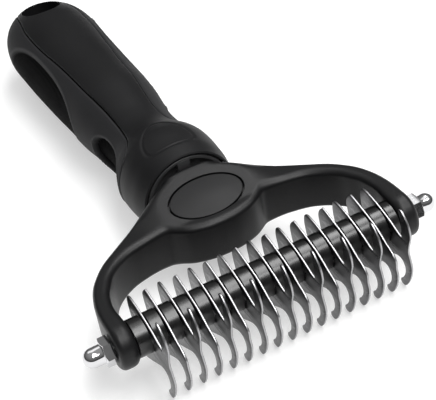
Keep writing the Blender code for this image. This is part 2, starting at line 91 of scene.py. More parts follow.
# Head
ARM_INNER_X = 44.3
ARM_OUTER_X = 50.4
BOW_HALF_HEIGHT = 7.4
EDGE_ROUND = 1.9
INNER_REACH = 2.7            # how far the inner edge's rounding runs over the top face
EDGE_STEPS = 8
SPAN_STEPS = 24
LUG_STEPS = 18
BOW_CURVE_STEPS = 5
HUMP_START_Y = 38.0          # the hump on the head's top narrows between these two
HUMP_END_Y = 46.8
HUMP_FLAT_X = 15.0           # half width of the hump's level top, and how much it narrows by
HUMP_FLAT_LOSS = 9.0
HUMP_FOOT_X = 26.0           # half width at the hump's foot, and how much it narrows by
HUMP_FOOT_LOSS = 9.5
NECK_REAR_Y = 49.4
SPIGOT_RADIUS = 8.7
SPIGOT_END_Y = 66.0
BADGE_Y = 35.4
BADGE_Z = 9.0
BADGE_TILT = math.radians(14.0)
BADGE_HALF_X = 12.2
BADGE_HALF_Y = 7.6
BADGE_GROOVE = 0.55
BADGE_THICKNESS = 1.5
BADGE_ROUNDING = 0.22
BADGE_SIDES = 128
POCKET_SIDES = 96
POCKET_EASE = 0.14           # how much wider the badge pocket is at its mouth
# (height, share of that widening) from just under the head's face to well above it
POCKET_MOUTH = [(-0.15, 0.0), (0.05, 1.0), (3.0, 1.0)]

# Collar in the bell's mouth
COLLAR_INNER_RADIUS = 9.1
COLLAR_LIP = 1.2             # radial width of the collar's raised rim
COLLAR_START_Y = 50.0
COLLAR_FLOOR_Y = 52.6
COLLAR_EASE = 0.2
COLLAR_SIDES = 128
TONGUE_HALF_WIDTH = 2.1
TONGUE_HALF_HEIGHT = 1.95
TONGUE_FRONT_Y = 49.9
TONGUE_BACK_Y = 53.2
TONGUE_Z = 12.05

# Handle
RIM_Y = 49.7
MOUTH_RADIUS = 14.9
MOUTH_FLOOR_Y = 54.4
SOCKET_RADIUS = 9.0
SOCKET_SPACE = 1.0           # room left past the spigot's end
# (distance behind the bell's rim, distance outside its mouth) of the rim's rounded inner edge
RIM_EASE = [(0.6, 0.0), (0.25, 0.12), (0.05, 0.4), (0.0, 0.7)]
BELL_RADIUS = 17.5
BELL_ROW_Y = 60.0            # a row on the bell, whose angles the mouth's rings share
GRIP_START_Y = 66.2
GRIP_END_Y = 184.0
FIRST_GRIP_ROW_Y = 66.3
GRIP_DEPTH = 3.0             # of the core's pockets, under the skin
GRIP_STEPS = 96
GRIP_END_GAP = 0.35          # gap between a grip's end and the core
GRIP_ROW_GAP = 0.5           # rows nearer to the core's front face are left out of a grip
WIDEST_SEAM = 88.0           # degrees from the top line
POCKET_STEPS = 32
PANEL_STEPS = 150
SEAM_GAP = 0.5               # between a grip and the hard panel
SEAM_EASE_DEPTH = 0.4
SEAM_EASE_WIDTH = 0.6
SEAM_EDGE_ROWS = [0.0, 0.15, 0.35]  # distances from the seam at which a panel has points
BUTT_START_Y = 160.0
BUTT_RADIUS = 17.45
BUTT_FULLNESS = 3.0          # exponent of the butt's rounding, more being fuller
BUTT_TIP = 0.995             # share of the way to the end from which the butt narrows no more
BUTT_ROWS = [185.2, 186.4, 187.4, 188.1, 188.6, 188.9]
TIP_SHARE = 0.35             # width of the butt's flat tip over that of the row before it
HANDLE_END_Y = 189.0
FLATTEN_START_Y = 160.0      # the butt is lower than it is wide from here on
FLATTEN_LENGTH = 24.0
FLATTEN_SHARE = 0.13
HOLE_CENTRE_Y = 173.3
HOLE_HALF_X = 7.2
HOLE_HALF_Y = 8.8
HOLE_SIDES = 96
# (height, widening) of the hanging hole's upper half, from its straight part past the skin
HOLE_FLARE = [(11.0, 0.0), (13.0, 0.05), (14.5, 0.25), (16.0, 0.6), (20.0, 0.9)]

# (first, last, step) and single places of the rows along the handle
BELL_SPREADS = [(50.0, 55.5, 0.5), (55.8, 66.0, 0.3)]
GRIP_FRONT_ROWS = [FIRST_GRIP_ROW_Y, 66.5, 66.75, 67.0, 67.4]
GRIP_SPREADS = [(67.8, 74.0, 0.4), (74.8, GRIP_END_Y - 0.8, 0.9)]

# Thumb pad on the bell
PAD_MIDDLE_Y = 62.5
PAD_END_Y = 75.0             # the pad's shape is left out from here on
PAD_SLOPE_X = 0.72           # direction of the pad's two sloping sides
PAD_SLOPE_Y = 0.69
PAD_REACH = 7.9              # distance from the pad's middle to its sloping sides
PAD_HALF_WIDTH = 9.8
PAD_START_Y = 56.0
PAD_BLEND = 2.0              # how softly the pad's sides run into each other
PAD_GROOVE_DEPTH = 0.38
PAD_GROOVE_WIDTH = 0.42
PAD_DISH = 0.28

# Finger recesses on the grips
RECESS_ROUNDNESS = 2.5       # exponent of a recess's outline along the handle
RECESS_WALL = 0.13           # how steeply a recess drops, less being steeper
FADE_START = 75.0            # degrees from the top line between which a recess gets shallower
FADE_END = 125.0
BEAD_HEIGHT = 0.25
BEAD_PLACE = 0.07            # how far outside the recess's edge its bead stands

# Materials, with heights in metres
NOISE_LOW = 0.3              # most of a noise's values lie between these two
NOISE_HIGH = 0.7
FINE_DETAIL = 2.0
GLOSS_BELOW = 0.04           # how far a plastic's roughness drifts under and over its middle
GLOSS_ABOVE = 0.05
# shine of the grip's skin, and the lower shine that darkens its recesses as painted shade
RUBBER_SHINE = 0.15
RECESS_SHINE = 0.02
RUBBER_GRAIN_HEIGHT = 0.00004
RIB_SCALE = 330.0
RIB_HEIGHT = 0.00012
STEEL_GRAIN_HEIGHT = 0.00001
EDGE_START = 0.75            # a blade's sheet turns from face to edge as its normal's X falls
EDGE_FULL = 0.25             # from the first of these to the second

# Stage
FLOOR_HALF = 4.0             # metres
FLOOR_DROP = 0.0002          # metres between the floor and the rake's lowest point
CAMERA_AZIMUTH = -20.6       # degrees
CAMERA_ELEVATION = 37.3
CAMERA_ROLL = -11.2
CAMERA_LENS = 120.3
CAMERA_PLACE = (-123.75, -303.2, 281.0)
PAPER_GLOW = 0.5
HORIZON_TONE = (0.05, 0.06)  # (height, grey) of the world's two tones
OVERHEAD_TONE = (0.95, 0.5)
WORLD_STRENGTH = 0.8


# ---------------------------------------------------------------- mesh helpers

def mesh_from(name, bm, sharp=SHARP_ANGLE):
    """Finished mesh from a bmesh, smooth but for edges sharper than the angle."""
    bmesh.ops.remove_doubles(bm, verts=bm.verts, dist=WELD)
    bmesh.ops.recalc_face_normals(bm, faces=bm.faces)
    mesh = bpy.data.meshes.new(name)
    bm.to_mesh(mesh)
    bm.free()
    mesh.shade_smooth()
    mesh.set_sharp_from_angle(angle=math.radians(sharp))
    return mesh


def loft(name, rings, capped=True):
    """Closed loft through rings with the same number of points. Pinched ends need no caps."""
    bm = bmesh.new()
    rows = [[bm.verts.new(Vector(point) * MM) for point in ring] for ring in rings]
    for lower, upper in zip(rows, rows[1:]):
        for i in range(len(lower)):
            bm.faces.new((lower[i - 1], lower[i], upper[i], upper[i - 1]))
    if capped:
        caps = [bm.faces.new(rows[0]), bm.faces.new(rows[-1])]
        bmesh.ops.triangulate(bm, faces=caps)
    return mesh_from(name, bm)


def turned(name, profile, sides):
    """Solid turned about Z from (radius, height) points."""
    bm = bmesh.new()
    points = [bm.verts.new((radius * MM, 0.0, height * MM)) for radius, height in profile]
    edges = [bm.edges.new(pair) for pair in zip(points, points[1:])]
    if profile[0][0] > 0.0:
        edges.append(bm.edges.new((points[-1], points[0])))
    bmesh.ops.spin(bm, geom=points + edges, cent=(0, 0, 0), axis=(0, 0, 1),
                   angle=2 * math.pi, steps=sides)
    return mesh_from(name, bm)


def filled(name, outlines, half_thickness, rounding):
    """Flat outline with thickness and rounded edges, in its own XY plane."""
    curve = bpy.data.curves.new(name, "CURVE")
    curve.dimensions = "2D"
    curve.fill_mode = "BOTH"
    curve.extrude = (half_thickness - rounding) * MM
    curve.bevel_depth = rounding * MM
    curve.bevel_resolution = 2
    curve.offset = -rounding * MM
    for outline in outlines:
        spline = curve.splines.new("POLY")
        spline.points.add(len(outline) - 1)
        for point, (x, y) in zip(spline.points, outline):
            point.co = (x * MM, y * MM, 0.0, 1.0)
        spline.use_cyclic_u = True
    obj = bpy.data.objects.new(name, curve)
    bpy.context.scene.collection.objects.link(obj)
    raw = bpy.data.meshes.new_from_object(obj)
    bm = bmesh.new()
    bm.from_mesh(raw)
    bpy.data.objects.remove(obj, do_unlink=True)
    bpy.data.meshes.remove(raw)
    return mesh_from(name, bm, PLATE_SHARP_ANGLE)


def smooth_through(points, steps, closed=True):
    """Catmull-Rom curve through the points, with steps stretches between two points."""
    count = len(points)
    curve = []
    for i in range(count if closed else count - 1):
        around = [i - 1, i, i + 1, i + 2]
        if closed:
            around = [k % count for k in around]
        else:
            around = [min(max(k, 0), count - 1) for k in around]
        p0, p1, p2, p3 = (Vector(points[k]) for k in around)
        for step in range(steps):
            t = step / steps
            bend = (2 * p0 - 5 * p1 + 4 * p2 - p3) * t ** 2
            twist = (3 * p1 - p0 - 3 * p2 + p3) * t ** 3
            curve.append(tuple(0.5 * (2 * p1 + (p2 - p0) * t + bend + twist)))
    if not closed:
        curve.append(tuple(points[-1]))
    return curve


def ellipse(half_x, half_y, sides, centre_y=0.0):
    turns = [2 * math.pi * i / sides for i in range(sides)]
    return [(half_x * math.cos(turn), centre_y + half_y * math.sin(turn)) for turn in turns]


def along_x(mesh, side=1):
    """Lay a mesh made about Z along X, pointing to +X or, with side -1, to -X."""
    mesh.transform(Matrix.Rotation(math.radians(90.0 * side), 4, "Y"))
    return mesh


def along_y(mesh):
    """Lay a mesh made about Z along +Y."""
    mesh.transform(Matrix.Rotation(math.radians(-90.0), 4, "X"))
    return mesh


def combine(mesh, tools):
    """Apply (mesh, operation) Booleans in turn and return the result."""
    base = bpy.data.objects.new(mesh.name, mesh)
    bpy.context.scene.collection.objects.link(base)
    helpers = []
    for tool, operation in tools:
        helper = bpy.data.objects.new(tool.name, tool)
        bpy.context.scene.collection.objects.link(helper)
        helpers.append(helper)
        modifier = base.modifiers.new(tool.name, "BOOLEAN")
        modifier.operation = operation
        modifier.solver = "EXACT"
        modifier.object = helper
    depsgraph = bpy.context.evaluated_depsgraph_get()
    result = bpy.data.meshes.new_from_object(base.evaluated_get(depsgraph))
    for obj in [base] + helpers:
        bpy.data.objects.remove(obj, do_unlink=True)
    result.shade_smooth()
    result.set_sharp_from_angle(angle=math.radians(SHARP_ANGLE))
    return result


def piece(name, mesh, material, node, offset=(0.0, 0.0, 0.0)):
    """Put a finished mesh in place of its CAD node."""
    mesh.materials.clear()
    mesh.materials.append(material)
    obj = bpy.data.objects.new(name, mesh)
    bpy.context.scene.collection.objects.link(obj)
    obj.location = rod_axis + Vector(offset) * MM
    bpy.context.view_layer.update()
    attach(obj, "root")
    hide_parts(node)


def value_at(table, y):
    """Smooth value at y through (y, value) rows."""
    last = len(table) - 2
    index = next((i for i in range(last + 1) if y <= table[i + 1][0]), last)
    (y0, v0), (y1, v1) = table[index], table[index + 1]
    before = table[max(index - 1, 0)]
    after = table[min(index + 2, last + 1)]
    slope0 = (v1 - before[1]) / (y1 - before[0])
    slope1 = (after[1] - v0) / (after[0] - y0)
    t = min(1.0, max(0.0, (y - y0) / (y1 - y0)))
    span = y1 - y0
    return ((2 * t ** 3 - 3 * t ** 2 + 1) * v0 + (t ** 3 - 2 * t ** 2 + t) * span * slope0
            + (3 * t ** 2 - 2 * t ** 3) * v1 + (t ** 3 - t ** 2) * span * slope1)


# ---------------------------------------------------------------- materials

def new_material(name):
    material = bpy.data.materials.new(name)
    material.use_nodes = True
    nodes = material.node_tree.nodes
    links = material.node_tree.links
    return material, nodes, links, nodes["Principled BSDF"]


def add_noise(nodes, links, scale, detail=3.0, stretch=(1.0, 1.0, 1.0)):
    """Noise in object space, with scale in cells per metre."""
    place = nodes.new("ShaderNodeTexCoord")
    mapping = nodes.new("ShaderNodeMapping")
    mapping.inputs["Scale"].default_value = stretch
    noise = nodes.new("ShaderNodeTexNoise")
    noise.inputs["Scale"].default_value = scale
    noise.inputs["Detail"].default_value = detail
    links.new(place.outputs["Object"], mapping.inputs["Vector"])
    links.new(mapping.outputs["Vector"], noise.inputs["Vector"])
    return noise.outputs["Fac"]


def add_ramp(nodes, links, source, low, high):
    """Values from low to high over the range that a noise mostly covers."""
    ramp = nodes.new("ShaderNodeMapRange")
    ramp.inputs["From Min"].default_value = NOISE_LOW
    ramp.inputs["From Max"].default_value = NOISE_HIGH
    ramp.inputs["To Min"].default_value = low
    ramp.inputs["To Max"].default_value = high
    links.new(source, ramp.inputs["Value"])
    return ramp.outputs["Result"]


def add_colour(nodes, links, source, dark, light):
    mix = nodes.new("ShaderNodeMix")
    mix.data_type = "RGBA"
    mix.inputs["A"].default_value = (*dark, 1.0)
    mix.inputs["B"].default_value = (*light, 1.0)
    links.new(source, mix.inputs["Factor"])
    return mix.outputs["Result"]


def add_overlay(nodes, links, factor, below, colour):
    """A plain colour laid over a colour output as far as the factor says."""
    mix = nodes.new("ShaderNodeMix")
    mix.data_type = "RGBA"
    mix.inputs["B"].default_value = (*colour, 1.0)
    links.new(factor, mix.inputs["Factor"])
    links.new(below, mix.inputs["A"])
    return mix.outputs["Result"]


def add_attribute(nodes, name):
    """Value that the mesh carries under a name."""
    attribute = nodes.new("ShaderNodeAttribute")
    attribute.attribute_name = name
    return attribute.outputs["Fac"]


def add_bump(nodes, links, shader, source, height):
    """Relief of the given height, and the last one added is what the shader takes."""
    bump = nodes.new("ShaderNodeBump")
    bump.inputs["Distance"].default_value = height
    bump.inputs["Strength"].default_value = 1.0
    links.new(source, bump.inputs["Height"])
    links.new(bump.outputs["Normal"], shader.inputs["Normal"])
    return bump


def plastic(name, dark, light, rough, grain_scale, grain_height, shine=0.25):
    """Moulded plastic: slow colour drift, uneven gloss and a fine eroded grain."""
    material, nodes, links, shader = new_material(name)
    shader.inputs["Specular IOR Level"].default_value = shine
    drift = add_noise(nodes, links, 60.0)
    grain = add_noise(nodes, links, grain_scale, FINE_DETAIL)
    links.new(add_colour(nodes, links, drift, dark, light), shader.inputs["Base Color"])
    links.new(add_ramp(nodes, links, drift, rough - GLOSS_BELOW, rough + GLOSS_ABOVE),
              shader.inputs["Roughness"])
    add_bump(nodes, links, shader, grain, grain_height)
    return material


def rubber_colour(nodes, links, shader, drift, recess):
    """Dark grey skin, a painted highlight of paler grey on the beads, and painted shade in the
    recesses.
    """
    # painted shade: the recesses' shine falls from RUBBER_SHINE to RECESS_SHINE
    sheen = nodes.new("ShaderNodeMapRange")
    sheen.inputs["To Min"].default_value = RUBBER_SHINE
    sheen.inputs["To Max"].default_value = RECESS_SHINE
    links.new(recess, sheen.inputs["Value"])
    links.new(sheen.outputs["Result"], shader.inputs["Specular IOR Level"])
    skin = add_colour(nodes, links, drift, (0.013, 0.013, 0.014), (0.019, 0.019, 0.020))
    # painted highlight: the beads are laid over in paler grey
    bead_highlight = add_overlay(nodes, links, add_attribute(nodes, "bead"), skin, (0.045, 0.045, 0.046))
    # painted shade: the recesses are laid over in near-black
    floor = add_overlay(nodes, links, recess, bead_highlight, (0.0012, 0.0012, 0.0014))
    links.new(floor, shader.inputs["Base Color"])


def rubber_relief(nodes, links, shader, recess):
    """Fine ribs across the recesses, and an eroded grain all over."""
    place = nodes.new("ShaderNodeTexCoord")
    ribs = nodes.new("ShaderNodeTexWave")
    ribs.wave_type = "BANDS"
    ribs.bands_direction = "Y"
    ribs.inputs["Scale"].default_value = RIB_SCALE
    links.new(place.outputs["Object"], ribs.inputs["Vector"])
    masked = nodes.new("ShaderNodeMath")
    masked.operation = "MULTIPLY"
    links.new(ribs.outputs["Fac"], masked.inputs[0])
    links.new(recess, masked.inputs[1])
    grain_noise = add_noise(nodes, links, 2600.0, FINE_DETAIL)
    rib_bump = add_bump(nodes, links, shader, masked.outputs["Value"], RIB_HEIGHT)
    grain = add_bump(nodes, links, shader, grain_noise, RUBBER_GRAIN_HEIGHT)
    links.new(rib_bump.outputs["Normal"], grain.inputs["Normal"])


def grip_rubber():
    """Soft grip: matte, with ribbed recesses in painted shade and a painted highlight on the bead
    round them.
    """
    material, nodes, links, shader = new_material("soft_grip_rubber")
    drift = add_noise(nodes, links, 45.0)
    recess = add_attribute(nodes, "recess")
    rubber_colour(nodes, links, shader, drift, recess)
    rubber_relief(nodes, links, shader, recess)
    links.new(add_ramp(nodes, links, drift, 0.62, 0.72), shader.inputs["Roughness"])
    return material


def blade_steel():
    """Stamped stainless sheet: dull grey faces, with a painted highlight of lighter steel along the
    edges.
    """
    material, nodes, links, shader = new_material("stamped_steel")
    shader.inputs["Metallic"].default_value = 1.0
    drift = add_noise(nodes, links, 120.0)
    grain = add_noise(nodes, links, 1500.0, FINE_DETAIL, stretch=(1.0, 0.25, 1.0))
    face = add_colour(nodes, links, drift, (0.085, 0.085, 0.088), (0.13, 0.13, 0.134))
    place = nodes.new("ShaderNodeTexCoord")
    split = nodes.new("ShaderNodeSeparateXYZ")
    side = nodes.new("ShaderNodeMath")
    side.operation = "ABSOLUTE"
    edge = nodes.new("ShaderNodeMapRange")
    edge.inputs["From Min"].default_value = EDGE_START
    edge.inputs["From Max"].default_value = EDGE_FULL
    links.new(place.outputs["Normal"], split.inputs["Vector"])
    links.new(split.outputs["X"], side.inputs[0])
    links.new(side.outputs["Value"], edge.inputs["Value"])
    # painted highlight: the edges are laid over in lighter steel
    edge_highlight = add_overlay(nodes, links, edge.outputs["Result"], face, (0.38, 0.38, 0.388))
    links.new(edge_highlight, shader.inputs["Base Color"])
    links.new(add_ramp(nodes, links, grain, 0.26, 0.38), shader.inputs["Roughness"])
    add_bump(nodes, links, shader, grain, STEEL_GRAIN_HEIGHT)
    return material


def nut_chrome():
    """Bright plating over a machined nut, with faint wear in its gloss."""
    material, nodes, links, shader = new_material("chrome")
    shader.inputs["Metallic"].default_value = 1.0
    wear = add_noise(nodes, links, 500.0, detail=4.0)
    links.new(add_colour(nodes, links, wear, (0.60, 0.60, 0.61), (0.68, 0.68, 0.69)),
              shader.inputs["Base Color"])
    links.new(add_ramp(nodes, links, wear, 0.05, 0.12), shader.inputs["Roughness"])
    return material


# ---------------------------------------------------------------- blades, spacers, rod, nuts

# Outlines are (y, z) across the rod, and a blade drawn flat is stood up to match.
STAND_UP = Matrix(((0, 0, 1, 0), (1, 0, 0, 0), (0, 1, 0, 0), (0, 0, 0, 1)))
REAR_EDGE = [(7.4, -12.3), (9.3, -7.5), (10.6, -1.5), (11.1, 4.4)]
LOWER_TOOTH = [(-15.6, -5.1), (-16.0, -8.0), (-14.9, -11.9), (-13.1, -15.2), (-11.2, -17.2),
               (-9.3, -17.1), (-9.0, -15.8), (-10.5, -14.2), (-12.0, -11.6), (-12.2, -8.9),
               (-10.6, -7.0), (-7.6, -7.3), (-1.9, -10.2), (3.1, -12.6), (5.8, -13.4)]
UPPER_TOOTH = [(-11.2, 2.1), (-12.1, 3.9), (-12.2, 8.4), (-11.4, 12.2), (-12.3, 12.9), (-13.3, 12.5),
               (-15.0, 10.8), (-16.4, 8.4), (-16.85, 5.2), (-15.6, 1.4), (-14.8, -1.9)]
DOUBLE_TOP = [(9.0, 7.7), (2.1, 6.9), (-5.4, 4.6)]
SINGLE_TOP = [(8.6, 7.9), (6.7, 8.2), (-3.6, 5.5), (-7.7, 3.6), (-10.7, 1.7), (-13.7, 0.2),
              (-15.7, -2.1)]


def blade_mesh(name, outline):
    """Stamped blade, drawn flat and stood up across the rod."""
    bore = ellipse(BORE_RADIUS, BORE_RADIUS, BORE_SIDES)
    smooth = [(max(y, FRONT_Y), z) for y, z in smooth_through(outline, BLADE_CURVE_STEPS)]
    mesh = filled(name, [smooth, bore], BLADE_HALF, BLADE_ROUNDING)
    mesh.transform(STAND_UP)
    return mesh


def blade_x(index):
    return (index - (BLADE_COUNT - 1) / 2) * BLADE_PITCH + STACK_SHIFT


def make_blades(material):
    """Every other blade, the outermost included, carries an upper tooth too."""
    double = blade_mesh("double_blade", REAR_EDGE + DOUBLE_TOP + UPPER_TOOTH + LOWER_TOOTH)
    single = blade_mesh("single_blade", REAR_EDGE + SINGLE_TOP + LOWER_TOOTH)
    for index in range(BLADE_COUNT):
        mesh = double if index % 2 == 0 else single
        name = f"blade_{index + 1:02d}"
        piece(name + "_detail", mesh, material, name, (blade_x(index), 0.0, 0.0))


def sleeve(name, length):
    """Spacer sleeve with turned-down ends."""
    half = length / 2
    turned_down = SPACER_RADIUS - SPACER_EASE
    profile = [(BORE_RADIUS, half), (turned_down, half), (SPACER_RADIUS, half - SPACER_EASE),
               (SPACER_RADIUS, SPACER_EASE - half), (turned_down, -half), (BORE_RADIUS, -half)]
    return along_x(turned(name, profile, BAR_SIDES))


def make_spacers(material):
    face = BLADE_HALF + CLEARANCE
    shared = sleeve("spacer_sleeve", BLADE_PITCH - 2 * face)
    for index in range(BLADE_COUNT - 1):
        name = f"spacer_{index + 1:02d}"
        piece(name + "_detail", shared, material, name, (blade_x(index) + BLADE_PITCH / 2, 0.0, 0.0))
    for name, side, index in (("end_spacer_left", -1, 0), ("end_spacer_right", 1, BLADE_COUNT - 1)):
        near = blade_x(index) + side * face
        far = side * (ARM_INNER_X - CLEARANCE)
        mesh = sleeve(name + "_sleeve", abs(far - near))
        piece(name + "_detail", mesh, material, name, ((near + far) / 2, 0.0, 0.0))


def make_rod(material):
    tip = ROD_RADIUS - ROD_CHAMFER
    shoulder = ROD_END - ROD_CHAMFER
    profile = [(0.0, ROD_END), (tip, ROD_END), (ROD_RADIUS, shoulder), (ROD_RADIUS, -shoulder),
               (tip, -ROD_END), (0.0, -ROD_END)]
    piece("tie_rod_detail", along_x(turned("rod", profile, ROD_SIDES)), material, "tie_rod")


def make_nut(name, side, turn, material):
    """Acorn nut: chamfered hexagon, short neck and dome."""
    corner = NUT_ACROSS_FLATS / math.sqrt(3)
    hexagon = filled(name + "_hex", [ellipse(corner, corner, 6)], NUT_HEX_HEIGHT / 2, NUT_ROUNDING)
    hexagon.transform(Matrix.Translation((0, 0, NUT_HEX_HEIGHT / 2 * MM)))
    hexagon.transform(Matrix.Rotation(math.radians(turn * side), 4, "Z"))
    crown = [(0.0, NUT_BLANK[0][1])]
    crown += [(corner + past, height) for past, height in NUT_BLANK]
    crown.append((0.0, NUT_BLANK[-1][1]))
    blank = turned(name + "_crown", crown, NUT_SIDES)
    tangent = NUT_HEIGHT - DOME_RADIUS
    turns = [math.radians(angle) for angle in range(0, 91, DOME_STEP)]
    outline = [(DOME_RADIUS * math.sin(angle), tangent + DOME_RADIUS * math.cos(angle))
               for angle in turns]
    foot = NUT_HEX_HEIGHT - DOME_OVERLAP
    outline += [(DOME_RADIUS, NUT_HEX_HEIGHT + DOME_FOOT_RISE), (DOME_RADIUS + DOME_FOOT_SPREAD, foot),
                (0.0, foot)]
    dome = turned(name + "_dome", outline, NUT_SIDES)
    mesh = combine(hexagon, [(blank, "INTERSECT"), (dome, "UNION")])
    mesh.name = name + "_mesh"
    seat = (side * (ARM_OUTER_X + CLEARANCE), 0.0, 0.0)
    piece(name + "_detail", along_x(mesh, side), material, name, seat)


# ---------------------------------------------------------------- head

# Plan of the bow's +X half from the rod to the middle: arm, shoulder and neck outside; arm, bay
# and middle bulge inside. The rows are pairs of (x, y) that face each other across the bow.
BOW_STATIONS = [((ARM_OUTER_X, 0.0), (ARM_INNER_X, 0.0)), ((50.3, 4.1), (44.3, 4.1)),
                ((49.9, 9.0), (44.4, 9.0)), ((48.9, 13.8), (43.2, 14.6)),
                ((47.0, 19.0), (41.2, 18.4)), ((44.5, 23.0), (38.9, 21.9)),
                ((40.0, 28.0), (35.2, 25.1)), ((34.0, 32.4), (30.8, 27.5)),
                ((28.0, 36.5), (26.0, 28.8)), ((24.0, 39.5), (22.0, 29.5)),
                ((21.2, 41.7), (18.6, 29.8)), ((18.4, 43.8), (16.4, 29.5)),
                ((16.2, 45.4), (14.0, 27.8)), ((13.6, 46.8), (11.5, 26.1)),
                ((10.0, 48.1), (8.6, 24.9)), ((5.0, 49.1), (4.6, 23.9)),
                ((0.0, NECK_REAR_Y), (0.0, 23.6))]


def head_top(x, y):
    """Height of the head's top: flat along the bow, rising as a broad hump to the neck."""
    rise = max(0.0, BADGE_Z + (y - BADGE_Y) * math.tan(BADGE_TILT) - BOW_HALF_HEIGHT)
    narrowing = min(1.0, max(0.0, (y - HUMP_START_Y) / (HUMP_END_Y - HUMP_START_Y)))
    flat = HUMP_FLAT_X - HUMP_FLAT_LOSS * narrowing ** 2
    foot = HUMP_FOOT_X - HUMP_FOOT_LOSS * narrowing
    fall = min(1.0, max(0.0, (abs(x) - flat) / (foot - flat)))
    return BOW_HALF_HEIGHT + rise * 0.5 * (1.0 + math.cos(math.pi * fall))


def edge_rows(span):
    """(reach, drop) across the bow: level between its edges, the inner one rounded more broadly."""
    turns = [math.pi / 2 * i / EDGE_STEPS for i in range(EDGE_STEPS + 1)]
    outer = [(EDGE_ROUND * (1 - math.cos(turn)), EDGE_ROUND * (1 - math.sin(turn)))
             for turn in turns]
    inner = [(span - INNER_REACH * (1 - math.cos(turn)), EDGE_ROUND * (1 - math.sin(turn)))
             for turn in reversed(turns)]
    level = span - EDGE_ROUND - INNER_REACH
    middle = [(EDGE_ROUND + level * i / SPAN_STEPS, 0.0) for i in range(1, SPAN_STEPS)]
    return outer + middle + inner


def with_underside(top):
    return top + [(x, y, -z) for x, y, z in reversed(top)]


def bow_section(outer, inner):
    """Ring across the bow, rounded at both edges."""
    outer = Vector(outer)
    inner = Vector(inner)
    across = (inner - outer).normalized()
    top = []
    for reach, drop in edge_rows((inner - outer).length):
        x, y = outer + across * reach
        top.append((x, y, head_top(x, y) - drop))
    return with_underside(top)


def lug_section(turn):
    """The arm's section swung about the rod, pinched shut where it meets its underside."""
    top = []
    for reach, drop in edge_rows(ARM_OUTER_X - ARM_INNER_X):
        radius = BOW_HALF_HEIGHT - drop
        top.append((ARM_OUTER_X - reach, -radius * math.sin(turn), radius * math.cos(turn)))
    return with_underside(top)


def badge_place(side):
    """Middle of the badge's outer face, on the sloping face above or below the head."""
    tilt = Matrix.Rotation(BADGE_TILT * side, 4, "X")
    return Matrix.Translation(Vector((0.0, BADGE_Y, BADGE_Z * side)) * MM) @ tilt


def badge_pocket(side):
    """Oval pocket whose mouth is eased, so its edge catches light."""
    floor = (-BADGE_THICKNESS - CLEARANCE, 0.0)
    rings = []
    for height, share in [floor] + POCKET_MOUTH:
        wider = BADGE_GROOVE + POCKET_EASE * share
        oval = ellipse(BADGE_HALF_X + wider, BADGE_HALF_Y + wider, POCKET_SIDES)
        rings.append([(x, y, side * height) for x, y in oval])
    mesh = loft("badge_pocket", rings)
    mesh.transform(badge_place(side))
    return mesh


def bar(radius, low, high):
    return turned("bar", [(0.0, high), (radius, high), (radius, low), (0.0, low)], BAR_SIDES)


def make_head(material):
    """Bow, arms and neck in one loft, with the spigot, the rod's bore and the badge pockets."""
    stations = [outer + inner for outer, inner in BOW_STATIONS]
    fine = smooth_through(stations, BOW_CURVE_STEPS, closed=False)
    half = [lug_section(math.pi / 2 * (1 - i / LUG_STEPS)) for i in range(LUG_STEPS)]
    half += [bow_section(row[:2], row[2:]) for row in fine]
    mirrored = [[(-x, y, z) for x, y, z in ring] for ring in reversed(half[:-1])]
    bow = loft("bow", half + mirrored, capped=False)
    reach = ARM_OUTER_X + CUT_MARGIN
    tools = [(along_y(bar(SPIGOT_RADIUS, HUMP_START_Y, SPIGOT_END_Y)), "UNION"),
             (along_x(bar(BORE_RADIUS, -reach, reach)), "DIFFERENCE"),
             (badge_pocket(1), "DIFFERENCE"), (badge_pocket(-1), "DIFFERENCE")]
    piece("head_detail", combine(bow, tools), material, "head_frame")


def make_badge(name, side, material):
    """Oval inlay, flush with the sloping face and set off from it by a narrow groove."""
    mesh = filled(name + "_oval", [ellipse(BADGE_HALF_X, BADGE_HALF_Y, BADGE_SIDES)],
                  BADGE_THICKNESS / 2, BADGE_ROUNDING)
    mesh.transform(badge_place(side) @ Matrix.Translation((0, 0, -side * BADGE_THICKNESS / 2 * MM)))
    piece(name + "_detail", mesh, material, name)


def make_collar(material):
    """Thin ring in the bell's mouth, with a tongue above and below reaching towards the head."""
    outer = MOUTH_RADIUS - CLEARANCE
    back = MOUTH_FLOOR_Y - CLEARANCE
    lip = outer - COLLAR_LIP
    eased = COLLAR_START_Y + COLLAR_EASE
    profile = [(COLLAR_INNER_RADIUS, back), (outer, back), (outer, eased),
               (outer - COLLAR_EASE, COLLAR_START_Y), (lip + COLLAR_EASE, COLLAR_START_Y),
               (lip, eased), (lip, COLLAR_FLOOR_Y), (COLLAR_INNER_RADIUS, COLLAR_FLOOR_Y)]
    ring = along_y(turned("collar_ring", profile, COLLAR_SIDES))
    half = TONGUE_HALF_WIDTH
    tongue = [(-half, TONGUE_FRONT_Y), (half, TONGUE_FRONT_Y), (half, TONGUE_BACK_Y),
              (-half, TONGUE_BACK_Y)]
    tools = []
    for side in (1, -1):
        mesh = filled("tongue", [tongue], TONGUE_HALF_HEIGHT, COLLAR_EASE)
        mesh.transform(Matrix.Translation((0, 0, side * TONGUE_Z * MM)))
        tools.append((mesh, "UNION"))
    piece("neck_collar_detail", combine(ring, tools), material, "neck_collar")


# ---------------------------------------------------------------- handle

